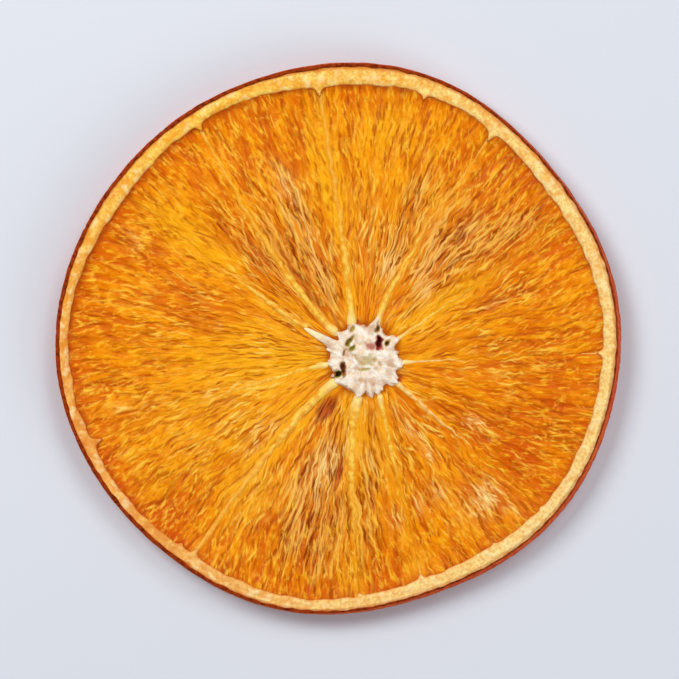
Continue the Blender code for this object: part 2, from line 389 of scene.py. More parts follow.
def settle(piece, material):
    """Finishes a piece of the slice: smooth faces, its material, and its place in the model."""
    piece.data.materials.append(material)
    piece.data.shade_smooth()
    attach(piece, BODY)
    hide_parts(NODE)


def dented_by_glands(around, up_length, seed):
    """How deep the skin is dented, from 0 to 1, by glands scattered about a grid of even spacing."""
    columns = round(2 * np.pi * MEAN_RADIUS / GLAND_SPACING)
    rows = int(RIM_HEIGHT / GLAND_SPACING) + 4
    draw = np.random.default_rng(seed)
    shift = draw.uniform(-0.36, 0.36, size=(2, columns, rows))
    size = draw.uniform(0.3, 0.52, size=(columns, rows))
    at_column = around / (2 * np.pi) * columns
    at_row = up_length / GLAND_SPACING + 1
    depth = np.zeros(len(around))
    for column_step, row_step in itertools.product((-1, 0, 1), repeat=2):
        column = np.floor(at_column).astype(int) + column_step
        row = np.clip(np.floor(at_row).astype(int) + row_step, 0, rows - 1)
        wrapped = column % columns
        off_column = at_column - column - 0.5 - shift[0, wrapped, row]
        off_row = at_row - row - 0.5 - shift[1, wrapped, row]
        off = np.hypot(off_column, off_row) / size[wrapped, row]
        depth = np.maximum(depth, 1 - off**2)
    return depth


rind, degrees, up, inwards = tube_blank(
    "rind", MEAN_RADIUS, RIND_WALL, RIND_STEPS_ROUND, RIND_ROWS_UP, RIND_ROWS_IN
)
round_3d = np.column_stack((MEAN_RADIUS * direction(degrees), RIM_HEIGHT * up))
glands = dented_by_glands(np.radians(degrees) % (2 * np.pi), RIM_HEIGHT * up, seed=31)
wrinkles = smooth_noise(round_3d * (1, 1, 0.6), WRINKLE_LENGTH, seed=32)
fine_wrinkles = smooth_noise(round_3d, WRINKLE_LENGTH / 3, seed=33)
wall = RIND_WALL - RIND_THINNER_BY_LEAN * np.maximum(0, rind_lean(degrees))
wall += RIND_WALL_UNEVEN * smooth_noise(round_3d, WRINKLE_LENGTH / 2, seed=34)
at_edge = np.abs(2 * up - 1) ** 14
skin = (1 - inwards) * (GLAND_DEPTH * glands + WRINKLE * (0.6 * wrinkles + 0.35 * fine_wrinkles))
inset = side_inset(degrees, up) + inwards * wall + skin * (1 - 0.5 * at_edge)
inset += RIND_EDGE_ROUND * at_edge * (1 - inwards)
flat = (outline_radius(degrees) - inset)[:, None] * direction(degrees)
crown = RIND_EDGE_ROUND * (2 * inwards - 1) ** 2
edge_wave = RIND_EDGE_WAVE * smooth_noise(round_3d * (1, 1, 0), RIND_EDGE_WAVE_LENGTH, seed=35)
height = up * (full_height(flat) + RIND_EDGE_RISE + edge_wave - crown) + (1 - up) * 0.5 * crown
set_points(rind, flat, height)
note(rind, "gland", glands)
note(rind, "cut_edge", np.clip(np.abs(2 * up - 1) * 8 - 7.1 + inwards, 0, 1))


def layered(colour, *layers):
    """Lays more colours over this one, the lowest first, each where and as fully as its share says."""
    for share, upper in layers:
        colour = share.mix(colour, upper)
    return colour


rind_material, start = add_material("dried peel", {"Specular IOR Level": 0.06, "Subsurface Weight": 0.05})
place = start.place()
speck = place.noise(2.2, detail=4).between(0.42, 0.66)
skin_colour = layered(
    place.noise(0.35).between(0.3, 0.7).mix(screen(216, 68, 3), screen(238, 102, 8)),
    (0.5 * speck, screen(178, 42, 2)),
    (start.attribute("gland").between(0.3, 1.0), screen(176, 44, 2)),
)
cut_colour = speck.mix(screen(156, 54, 6), screen(96, 26, 2))
finish(
    rind_material,
    Base_Color=start.attribute("cut_edge").mix(skin_colour, cut_colour),
    Roughness=0.5 + 0.25 * speck,
    Normal=place.noise(5.0, detail=4).bumped(0.5, 0.05 * MM),
)
settle(rind, rind_material)


# Pith
# The white spongy layer under the peel, dried to a springy apricot-coloured ring. Its cut face has sunk a
# little between its edges, and it runs in to a short point wherever a membrane joins it.
class Membrane(NamedTuple):
    """The wall between two segments. The lengths are in millimetres."""

    rim: float  # the angle of its outer end, seen from the middle of the core
    core: float  # the angle of its inner end
    ridge: float  # how far it stands up from the pulp
    pith_point: float  # how far the pith runs in along it
    core_point: float  # how far the core runs out along it
    bow: float  # how far it bows to the left on its way out
    fade_at: float  # the share of its length after which the pulp hides it
    glow: float  # how golden it and the pulp beside it are
    width: float  # how many times wider than most of them


MEMBRANES = [Membrane(*row) for row in (
    (1.5, -4, 0.2, 0.8, 0.8, 0, 0.08, 0.2, 0.8),
    (34.5, 31, 0.2, 0.1, 0.7, 0, 0.2, 0.6, 0.8),
    (60.2, 69, 0.4, 1.3, 0.9, 0.9, 0.62, 0.7, 1.0),
    (99.4, 108, 0.4, 1.2, 0.7, -0.3, 0.72, 1.0, 1.3),
    (125.3, 136, 0.45, 1.1, 0.9, 1.0, 0.7, 0.8, 1.1),
    (145, 151, 0.35, 0.1, 4.1, 0.3, 0.25, 0.6, 1.0),
    (197.1, 188.7, 0.25, 1.3, 0.6, -0.5, 0.35, 0.9, 1.1),
    (229, 218.5, 0.45, 1.2, 0.7, -0.75, 0.75, 0.9, 1.4),
    (269, 261.5, 0.4, 0.5, 0.8, -0.8, 0.48, 1.0, 1.45),
    (284.8, 293, 0.35, 0.8, 0.9, -0.1, 0.25, 0.8, 1.0),
    (320, 323.7, 0.35, 0.2, 1.2, 0, 0.28, 0.3, 0.95),
)]
CORE_CENTRE = np.array((2.68 * MM, -2.18 * MM))
RIND_AND_PITH = 1.78 * MM
PITH_WIDTH = RIND_AND_PITH - RIND_WALL
PITH_WIDTH_WAVES = (
    (1, 0.34 * MM, 108),
    (2, 0.2 * MM, 96),
    (5, 0.13 * MM, 15),
    (6, 0.11 * MM, 26),
    (7, 0.09 * MM, 40),
)
PITH_WIDER_BY_LEAN = 1.5
PITH_POINT_SPREAD = 0.3 * MM
PITH_POINT_FOOT = 1.2 * MM
PITH_POINT_FOOT_SHARE = 0.2
# Where thin walls end in the pith that don't reach the core: the angle from the middle, and the point
SPARE_PITH_POINTS = ((71, 0.7 * MM), (232, 0.5 * MM), (307, 0.3 * MM))
PITH_SCALLOP = 0.22 * MM
PITH_STEPS_ROUND = 1100
PITH_ROWS_UP = 12
PITH_ROWS_IN = 16
# The drop of the pith's cut face inside the rim's height, from its inner edge to the rind
PITH_DROP_AT = (0, 0.04, 0.12, 0.3, 0.55, 0.72, 0.82, 1)
PITH_DROP = tuple(drop * MM for drop in (0.62, 0.42, 0.24, 0.07, 0.14, 0.07, 0.18, 0.25))
PITH_SPONGE = 0.08 * MM
PITH_INTO_RIND = 0.12 * MM
# The tinges of the pith: the angle at which each is strongest, and how quickly it fades round from there
PITH_TINGES = (("warm", 215, 4), ("yellow", 127, 4), ("light", 325, 2))


def faded(distance, spread, power=1):
    """What is left of 1 at a distance, where most of it has gone by the spread."""
    return np.exp(-((distance / spread) ** power))


def wall_angles(end):
    """The angles of the membranes' ends, "rim" or "core", and the angle from each on to the next."""
    angles = np.array([getattr(membrane, end) for membrane in MEMBRANES], dtype=float)
    return angles, (np.roll(angles, -1) - angles) % 360


def reach(degrees, inset):
    """Where rays from the core meet the outline moved in by inset(angle about the middle)."""
    aim = direction(degrees)
    distance = np.full(len(aim), MEAN_RADIUS)
    for _ in range(12):
        point = CORE_CENTRE + distance[:, None] * aim
        angle = degrees_of(point)
        distance += outline_radius(angle) - inset(angle) - np.hypot(*point.T)
    return CORE_CENTRE + distance[:, None] * aim


def pith_inset(degrees):
    """How far inside the outline the pith's inner edge lies, away from the membranes. The pith is wider
    where the rind leans out."""
    wider = PITH_WIDER_BY_LEAN * np.maximum(0, rind_lean(degrees))
    return RIND_AND_PITH + waves(PITH_WIDTH_WAVES, degrees) + wider


def pith_points(degrees):
    """How much further in the pith runs beside each membrane, along the inner edge."""
    seen_at = degrees_of(reach(wall_angles("rim")[0], pith_inset))
    points = [(at, membrane.pith_point * MM) for at, membrane in zip(seen_at, MEMBRANES)]
    total = np.zeros(len(degrees))
    for at, length in (*points, *SPARE_PITH_POINTS):
        off = np.radians(np.abs((degrees - at + 180) % 360 - 180)) * MEAN_RADIUS
        tip = (1 - PITH_POINT_FOOT_SHARE) * faded(off, PITH_POINT_SPREAD, 1.5)
        total += length * (tip + PITH_POINT_FOOT_SHARE * faded(off, PITH_POINT_FOOT))
    return total


pith_radius = MEAN_RADIUS - RIND_WALL
pith, degrees, up, inwards = tube_blank(
    "pith", pith_radius, PITH_WIDTH, PITH_STEPS_ROUND, PITH_ROWS_UP, PITH_ROWS_IN
)
across = 1 - inwards
round_3d = np.column_stack((MEAN_RADIUS * direction(degrees), RIM_HEIGHT * up))
scallop = smooth_noise(round_3d * (1, 1, 0.5), 2.2 * MM, seed=41)
scallop += 0.35 * smooth_noise(round_3d, 0.7 * MM, seed=42)
inner = outline_radius(degrees) - pith_inset(degrees) - pith_points(degrees) + PITH_SCALLOP * scallop
outer = outline_radius(degrees) - side_inset(degrees, up) - PITH_INTO_RIND
flat = (inner + across * (outer - inner))[:, None] * direction(degrees)
on_face = np.column_stack((flat, RIM_HEIGHT * up))
sponge = smooth_noise(on_face, 1.1 * MM, seed=43) + 0.6 * smooth_noise(on_face, 0.45 * MM, seed=44)
drop = np.interp(across, PITH_DROP_AT, PITH_DROP) * (0.85 + 0.3 * smooth_noise(round_3d, 4 * MM, seed=45))
top = full_height(flat) - drop + PITH_SPONGE * sponge * np.clip(4 * across, 0.3, 1)
foot = 0.04 * MM * (1 + sponge).clip(0, 2) + 0.25 * MM * np.clip(1 - 9 * across, 0, 1) ** 2
set_points(pith, flat, up * top + (1 - up) * foot)
note(pith, "across", across)
for tinge, most_at, quickness in PITH_TINGES:
    note(pith, tinge, (0.5 + 0.5 * np.cos(np.radians(degrees - most_at))) ** quickness)
note(pith, "sponge", 0.5 + 0.4 * sponge)

pith_material, start = add_material(
    "dried pith",
    {
        "Specular IOR Level": 0.1,
        "Subsurface Weight": 0.12,
        "Subsurface Radius": (1.0, 0.5, 0.25),
        "Subsurface Scale": 0.5 * MM,
    },
)
place = start.place()
across = start.attribute("across")
light = start.attribute("light")
mottle = place.noise(0.9, detail=4).between(0.36, 0.64)
fine = place.noise(2.8, detail=4).between(0.4, 0.62)
colour = layered(
    mottle.mix(screen(246, 184, 82), screen(255, 230, 150)),
    (0.85 * start.attribute("yellow"), mottle.mix(screen(248, 180, 42), screen(255, 218, 84))),
    (0.95 * start.attribute("warm"), mottle.mix(screen(226, 134, 44), screen(246, 178, 84))),
    (0.65 * light, screen(255, 228, 150)),
    (0.5 * fine, screen(226, 138, 44)),
    (0.5 * start.attribute("sponge").between(0.5, 0.8), screen(255, 238, 180)),
    (0.75 * across.between(0.66, 0.82) * (1 - 0.8 * light), screen(218, 116, 34)),
    (1 - across.between(0.0, 0.1), screen(212, 92, 4)),
)
finish(
    pith_material,
    Base_Color=colour,
    Roughness=0.72 + 0.15 * fine,
    Normal=(place.noise(6.0, detail=5) + 0.5 * mottle).bumped(0.6, 0.06 * MM),
)
settle(pith, pith_material)


# Core
# The white spongy strand down the middle of the fruit, cut across. It has dried into a bumpy star with a
# point along each membrane, and a few of its veins have shrunk away and left dark pits.
CORE_RADIUS = 3.95 * MM
CORE_DROP = 0.15 * MM
CORE_POINT_SPREAD = 0.19
CORE_STEPS_ROUND = 480
CORE_RINGS = 110
# How far out, and how far up, the points of a round blank are moved, from its top pole to its bottom one
CORE_POLAR_AT = (0, 0.40, 0.46, 0.5, 0.54, 0.60, 1)
CORE_OUT = (0, 0.94, 1.0, 1.02, 1.0, 0.94, 0)
CORE_UP = (1, 1, 0.84, 0.5, 0.16, 0, 0)
CORE_SHOULDER = 0.35 * MM
# The long points of the core sink a little more, from this far out on
CORE_TIP_DROP = 0.1 * MM
CORE_TIP_FROM = 4.6 * MM
CORE_TIP_LENGTH = 3 * MM


class Pit(NamedTuple):
    """A hole where a vein has shrunk away. The lengths are in millimetres, from the core's middle."""

    x: float
    y: float
    radius: float
    depth: float
    stretch: float  # how many times longer than wide
    turned: float  # the angle of its long way
    dark: float  # 1 is nearly black at the bottom
    olive: float  # 0 is stained maroon, and 1 olive


PITS = [Pit(*row) for row in (
    # Veins at the upper right
    (1.75, 1.9, 0.32, 0.9, 2.6, 88, 1.0, 0),
    (2.7, 1.85, 0.26, 0.6, 1.3, 60, 0.9, 0.7),
    (1.65, 3.6, 0.26, 0.5, 1.7, 80, 0.85, 0.7),
    (0.8, 1.5, 0.5, 0.25, 1.5, 10, 0.4, 0),
    # Veins at the left
    (-1.31, 3.45, 0.26, 0.4, 1.6, 60, 0.5, 0.9),
    (-1.75, 2.0, 0.28, 0.5, 2.4, 50, 0.75, 0.9),
    (-2.3, 0.75, 0.18, 0.35, 2.2, 70, 0.5, 0.6),
    (-1.3, 1.25, 0.26, 0.35, 1.8, 50, 0.7, 1),
    (-2.4, -1.1, 0.3, 0.7, 2.8, 100, 0.85, 0.3),
    (-2.95, -1.7, 0.4, 0.8, 1.1, 0, 1.1, 0.9),
    (-0.9, 0.2, 0.2, 0.2, 3.0, 120, 0.36, 0.9),
    # Shallow stained folds about the middle
    (0.1, -1.15, 0.2, 0.2, 4.0, 4, 0.42, 1),
    (1.8, -0.5, 0.22, 0.15, 2.4, 120, 0.33, 0.5),
    (0.4, -0.2, 0.75, 0.12, 1.8, 20, 0.34, 1),
    (1.2, -2.9, 0.2, 0.2, 2.0, 70, 0.3, 0.3),
)]


def segment_shares(degrees):
    """For each angle seen from the core, which segment it lies in and how far across that segment."""
    starts, widths = wall_angles("core")
    past = (degrees[:, None] - starts) % 360
    segment = np.argmin(past, axis=1)
    return segment, past[np.arange(len(degrees)), segment] / widths[segment]


def core_edge_radius(segment, share):
    """The radius of the core's edge, which runs out to a point along each membrane."""
    points = MM * np.array([membrane.core_point for membrane in MEMBRANES])
    radius = CORE_RADIUS + points[segment] * faded(np.abs(share), CORE_POINT_SPREAD, 1.5)
    return radius + np.roll(points, -1)[segment] * faded(np.abs(1 - share), CORE_POINT_SPREAD, 1.5)


def lifted(flat, height=0):
    """Flat points as 3-D ones, at this height."""
    return np.column_stack((flat, np.full(len(flat), height)))


def pit_shares(off):
    """How dark, deep and olive the pits are at each point, given from the middle of the core. The darkness
    goes from 0 outside them all to about 1."""
    dark, depth, olive = np.zeros((3, len(off)))
    frayed = 1 + 0.5 * smooth_noise(lifted(off), 0.5 * MM, seed=55)
    for pit in PITS:
        along, sideways = direction(pit.turned), direction(pit.turned + 90)
        from_pit = off - (pit.x * MM, pit.y * MM)
        far = np.hypot(from_pit @ along / pit.stretch, from_pit @ sideways) / (pit.radius * MM)
        inside = np.clip(1.5 - far * frayed, 0, 1)
        olive = np.where(inside * pit.dark > dark, pit.olive, olive)
        dark = np.maximum(dark, inside * pit.dark)
        depth = np.maximum(depth, inside * (pit.depth * MM))
    return dark, depth, olive


core = add_blank(
    bpy.ops.mesh.primitive_uv_sphere_add, "core", segments=CORE_STEPS_ROUND, ring_count=CORE_RINGS,
    radius=CORE_RADIUS,
)
x, y, z = blank_points(core).T
polar = np.arctan2(np.hypot(x, y), z) / np.pi
seen_at = np.degrees(np.arctan2(y, x))
segment, share = segment_shares(seen_at)
in_noise = np.column_stack((direction(seen_at) * 4, polar * 3))
tufts = np.clip(smooth_noise(in_noise, 0.55, seed=56), 0, 1)
frayed = 0.97 + 0.07 * smooth_noise(in_noise, 1.3, seed=51) + 0.26 * tufts
edge = core_edge_radius(segment, share) * frayed
outwards = np.interp(polar, CORE_POLAR_AT, CORE_OUT)
flat = CORE_CENTRE + (outwards * edge)[:, None] * direction(seen_at)
upwards = np.interp(polar, CORE_POLAR_AT, CORE_UP)
in_3d = lifted(flat, 3 * MM * upwards)
in_rays = lifted(direction(seen_at) * CORE_RADIUS, 0.35 * outwards * edge)
fibrous = np.clip(outwards * 1.6 - 0.5, 0, 1) * upwards
bumps = 0.16 * smooth_noise(in_3d, 1.3 * MM, seed=52) + 0.05 * smooth_noise(in_3d, 0.2 * MM, seed=54)
bumps += 0.13 * (1 - fibrous) * smooth_noise(in_3d, 0.5 * MM, seed=53)
bumps += 0.17 * fibrous * smooth_noise(in_rays, 0.55 * MM, seed=57)
pit_dark, pit_depth, pit_olive = pit_shares(flat - CORE_CENTRE)
inside = CORE_DROP + CORE_SHOULDER * np.clip(outwards, 0, 1) ** 5 - MM * bumps + pit_depth
inside += CORE_TIP_DROP * np.clip((edge * outwards - CORE_TIP_FROM) / CORE_TIP_LENGTH, 0, 1)
rim = full_height(flat)
set_points(core, flat, upwards * (rim - inside) + (1 - upwards) * inside)
note(core, "pit", pit_dark)
note(core, "olive", pit_olive)
note(core, "out", np.hypot(*(flat - CORE_CENTRE).T) / MM)
note(core, "bump", 0.5 + 2.2 * bumps)

core_material, start = add_material(
    "dried core",
    {
        "Specular IOR Level": 0.15,
        "Subsurface Weight": 0.1,
        "Subsurface Radius": (1.0, 0.7, 0.5),
        "Subsurface Scale": 0.4 * MM,
    },
)
place = start.place()
mottle = place.noise(1.6, detail=4).between(0.35, 0.68)
fine = place.noise(6.0, detail=3).between(0.4, 0.7)
# Painted shade in the hollows between the core's bumps, weaker on its points
hollow_shade = 1 - start.attribute("bump").between(0.15, 0.62)
tip = start.attribute("out").between(4.4, 6.8)
pit = start.attribute("pit")
olive = start.attribute("olive")
colour = layered(
    mottle.mix(screen(255, 251, 240), screen(248, 222, 190)),
    (0.35 * fine, screen(228, 190, 150)),
    (0.75 * hollow_shade * (1 - 0.8 * tip), screen(196, 148, 106)),
    (0.8 * tip, screen(255, 238, 180)),
    (pit.between(0.12, 0.5), olive.mix(screen(176, 74, 62), screen(172, 152, 60))),
    (pit.between(0.5, 0.95), olive.mix(screen(72, 8, 10), screen(52, 40, 14))),
)
finish(
    core_material,
    Base_Color=colour,
    Roughness=0.8 - 0.3 * pit,
    Normal=place.noise(7.0, detail=5).bumped(0.6, 0.06 * MM),
)
settle(core, core_material)


# Membranes
# The thin skins between the segments, cut across and dried to stiff papery walls. They join the core to
# the pith and stand a little above the pulp beside the core, and further out the pulp clings over them.
MEMBRANE_THICK = 0.82 * MM
MEMBRANE_THIN = 0.46 * MM
MEMBRANE_WAVE = 0.3 * MM
MEMBRANE_IN_CORE = 0.9 * MM
MEMBRANE_IN_PITH = 0.5 * MM
MEMBRANE_FLARE = 0.35 * MM
MEMBRANE_FLARE_REACH = 0.6 * MM
MEMBRANE_PALER_BY_PITH = 0.8 * MM
MEMBRANE_STEPS_LONG = 150
MEMBRANE_ROWS = 12
FACE_IN_NOISE = 9 * MM  # how high the upper face is put in the noise that shapes it, and how low the other
PULP_DROP = 0.85 * MM
PULP_LIFT = 0.75 * MM
PULP_EDGE_RISE = 0.35 * MM
PULP_RISE_FROM = 0.84
PULP_SWELL = 0.25 * MM
PULP_SAG = 0.2 * MM
PULP_DIMPLE = 0.16 * MM


def core_end(segment, share):
    """The places round the core's edge, given as segments and shares across them."""
    starts, widths = wall_angles("core")
    seen_at = starts[segment] + share * widths[segment]
    return CORE_CENTRE + core_edge_radius(segment, share)[:, None] * direction(seen_at)


def pith_end(segment, share):
    """The places round the pith's inner edge, given as segments and shares across them."""
    starts, widths = wall_angles("rim")
    return reach(starts[segment] + share * widths[segment], pith_inset)


def straight_line(which, share=0.0):
    """The line from the core to the pith along a membrane, or at a share of the way to the next one: where
    it starts, its run as a flat vector, its length, and the direction to its left."""
    place = np.array([which]), np.array([share])
    start_at = core_end(*place)[0]
    line = pith_end(*place)[0] - start_at
    length = np.hypot(*line)
    return start_at, line, length, np.array((-line[1], line[0])) / length


def run_over(share, length, into_core, into_pith):
    """Stretches the shares of a length so that its ends lie inside the core and the pith."""
    return share * (1 + (into_core + into_pith) / length) - into_core / length


def sideways_shift(which, share):
    """How far each point of a membrane lies off the straight line, as a flat vector. It bows most near a
    third of its length, and wavers on top of that."""
    left = straight_line(which)[3]
    held = np.clip(np.sin(np.pi * np.clip(share, 0, 1)), 0, 1)
    bow = MM * MEMBRANES[which].bow * np.sin(np.pi * np.clip(share, 0, 1) ** 0.7)
    along = np.column_stack((12 * share, np.full(len(share), 7.3 * which), np.zeros(len(share))))
    waver = smooth_noise(along, 1.0, seed=61) + 0.5 * smooth_noise(along, 0.35, seed=62)
    return (bow + MEMBRANE_WAVE * waver * held)[:, None] * left


def pulp_inside(share, face):
    """How far inside the rim's height the pulp lies, from the core at 0 to the pith at 1."""
    depth = np.where(face > 0, PULP_DROP, PULP_LIFT)
    return depth - PULP_EDGE_RISE * np.clip((share - PULP_RISE_FROM) / (1 - PULP_RISE_FROM), 0, 1) ** 2


def pulp_swell(flat, share, reach_out, face):
    """How far the pulp rises above its own level: highest along the middle of a segment, and uneven. The
    share is that of the way across, 0 or 1 at a membrane."""
    in_3d = lifted(flat, FACE_IN_NOISE * face)
    swell = PULP_SWELL * (np.sin(np.pi * np.clip(share, 0, 1)) - 0.5)
    sag = PULP_SAG * smooth_noise(in_3d, 14 * MM, seed=75)
    swell += sag + PULP_DIMPLE * smooth_noise(in_3d, 5 * MM, seed=76)
    return swell * np.clip(reach_out / 0.12, 0, 1) * (1 - np.clip(reach_out, 0, 1) ** 8)


def ridge_height(which, share):
    """How far a membrane's crest stands over the pulp's own level. It dips under the pulp further out."""
    membrane = MEMBRANES[which]
    fading = np.clip((share - membrane.fade_at) / 0.3, 0, 1)
    returning = np.clip((share - 0.86) / 0.14, 0, 1) * (membrane.pith_point > 0.5)
    return 0.9 * (membrane.ridge * MM) * (1 - 0.3 * share) * (1 - 1.3 * fading + 1.2 * returning)


def plate_blank(name, steps_long, steps_wide):
    """A flat closed plate with a fine grid on both faces. Returns it and its points' places: along it and
    across it from 0 to 1, and from 0 on its upper face to -1 on its lower."""
    sizes = {"x_subdivisions": steps_long, "y_subdivisions": steps_wide, "size": 1}
    plate = add_blank(bpy.ops.mesh.primitive_grid_add, name, **sizes)
    thicken(plate, 1)
    x, y, z = blank_points(plate).T
    return plate, x + 0.5, y + 0.5, z


membrane_material, start = add_material(
    "dried membrane",
    {
        "Specular IOR Level": 0.3,
        "Coat Weight": 0.1,
        "Coat Roughness": 0.3,
        "Subsurface Weight": 0.2,
        "Subsurface Radius": (1.0, 0.45, 0.15),
        "Subsurface Scale": 0.5 * MM,
    },
)
place = start.place()
out = start.attribute("out")
streak = place.noise(1.5, detail=4).between(0.35, 0.65)
colour = layered(
    streak.mix(screen(242, 166, 64), screen(255, 210, 130)),
    (start.attribute("golden").between(0.2, 0.7), streak.mix(screen(240, 162, 16), screen(255, 212, 84))),
    (0.9 * (1 - out.between(4.2, 6.6)), screen(255, 226, 142)),
    (0.6 * out.between(10.0, 20.0), screen(246, 160, 18)),
    (start.attribute("by_pith"), screen(250, 200, 112)),
)
finish(
    membrane_material,
    Base_Color=colour,
    Roughness=0.5 + 0.2 * streak,
    Normal=place.noise(5.0, detail=4).bumped(0.4, 0.05 * MM),
)


def build_membrane(which):
    """One wall, as a strip from inside the core to inside the pith, as deep as the pulp and its ridges."""
    strip, along, up, z = plate_blank(f"membrane_{which + 1:02d}", MEMBRANE_STEPS_LONG, MEMBRANE_ROWS)
    start_at, line, length, left = straight_line(which)
    reach_out = run_over(along, length, MEMBRANE_IN_CORE, MEMBRANE_IN_PITH)
    middle = start_at + reach_out[:, None] * line + sideways_shift(which, reach_out)
    from_pith = np.maximum(0, (1 - reach_out) * length)
    thickness = MEMBRANE_THIN + (MEMBRANE_THICK - MEMBRANE_THIN) * faded(np.clip(reach_out, 0, 1), 0.3)
    thickness *= MEMBRANES[which].width
    thickness += MEMBRANE_FLARE * faded(from_pith, MEMBRANE_FLARE_REACH)
    in_3d = lifted(middle, up * 3 * MM)
    thickness *= 1 + 0.35 * smooth_noise(in_3d, 1.8 * MM, seed=63)
    crest = 1 - np.clip(np.abs(2 * up - 1) * 4 - 3, 0, 1) ** 2
    thickness *= 0.2 + 0.8 * crest
    flat = middle - (thickness * (z + 0.5))[:, None] * left
    ridge = ridge_height(which, reach_out) * (0.95 + 0.3 * smooth_noise(in_3d * (1, 1, 0), 1.5 * MM, seed=64))
    ridge *= np.clip(1 + reach_out * length / MEMBRANE_IN_CORE, 0, 1)
    edge = np.zeros(len(along))
    top = full_height(middle) - pulp_inside(reach_out, 1) + pulp_swell(middle, edge, reach_out, 1) + ridge
    foot = pulp_inside(reach_out, -1) - pulp_swell(middle, edge, reach_out, -1) - 0.8 * ridge
    set_points(strip, flat, foot + up * (top - foot))
    note(strip, "out", np.hypot(*(middle - CORE_CENTRE).T) / MM)
    note(strip, "golden", np.full(len(along), MEMBRANES[which].glow))
    note(strip, "by_pith", faded(from_pith, MEMBRANE_PALER_BY_PITH))
    settle(strip, membrane_material)


for which in range(len(MEMBRANES)):
    build_membrane(which)


# Pulp
# Eleven segments of juice sacs, cut across and dried to a glassy amber. The sacs lie along the segment like
# long grains; their skins have stayed up as fine pale threads and their juice has sunk between them. The
# threads are painted paler still as a highlight on their crests, and the creases between them darker as
# painted shade.
PULP_GRID_ALONG = 0.24 * MM
PULP_GRID_ACROSS = 0.17 * MM
PULP_IN_CORE = 0.35 * MM
PULP_IN_PITH = 0.35 * MM
SAC_WIDTH = 1.0 * MM
SAC_LENGTH = 6.0 * MM
SAC_RELIEF = 0.13 * MM
SAC_WALL = 0.05 * MM
THREAD_HEIGHT = 0.1 * MM
CREASE_DEPTH = 0.1 * MM
HOLLOW_DEPTH = 0.4 * MM
GRAIN_WAVER = 0.05 * MM
GRAIN_DRIFT = 0.8 * MM
GRAIN_SHIFT = 0.4 * MM
SHADE_FROM_CORE = 0.2 * MM
SHADE_BY_CORE = 0.35 * MM
SHADE_BY_PITH = 0.42 * MM
SHADE_MOST_AT = 125
# How far from a membrane the pulp climbs its flank, lies calm, and takes up its glow
FLANK_REACH = 0.4 * MM
CALM_REACH = 0.2 * MM
GLOW_REACH = 0.45 * MM


class Patch(NamedTuple):
    """A stretch of pulp that has dried differently, seen from the core, with soft edges. The lengths are
    in millimetres."""

    angle: float
    out: float  # the distance of its middle from the core's middle
    half_length: float
    half_width: float
    dry: float  # 1 is browner all over, darker with painted shade in its creases, and beige on its threads
    pale: float  # 1 is papery and light
    gold: float  # 1 is clear yellow
    deep: float = 0  # 1 is a deep red-orange
    hollow_shade: float = 0  # 1 is sunken, and darkened there with painted shade
